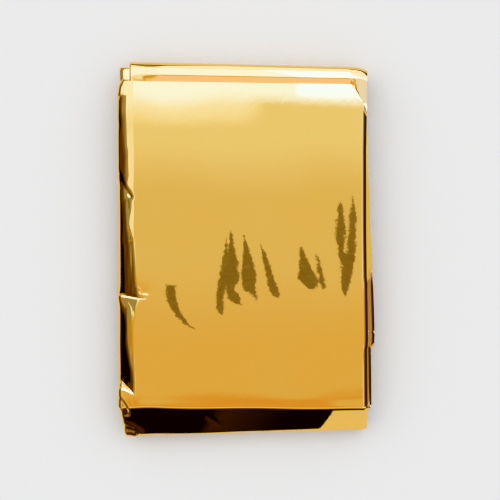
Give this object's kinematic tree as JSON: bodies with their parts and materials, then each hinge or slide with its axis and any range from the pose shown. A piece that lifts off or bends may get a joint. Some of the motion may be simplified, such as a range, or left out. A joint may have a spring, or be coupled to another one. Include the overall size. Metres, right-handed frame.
{
  "type": "emergency foil blanket",
  "caption": "Thin metallised film blanket, folded flat into a pocket-sized packet with a rolled top edge, for keeping a person warm in an emergency.",
  "frame": {"origin": "middle of the flat underside, which rests on the surface", "axes": "+X the packet's right side, +Y its top end, where the sheet rolls over, +Z out of its face"},
  "size_m": [0.0862, 0.1268, 0.0144],
  "materials": {
    "gold_film": "vapour-metallised polyester film, mirror-like gold with soft crinkles"
  },
  "bodies": {
    "root": {"foil_blanket": "gold_film"}
  },
  "joints": []
}
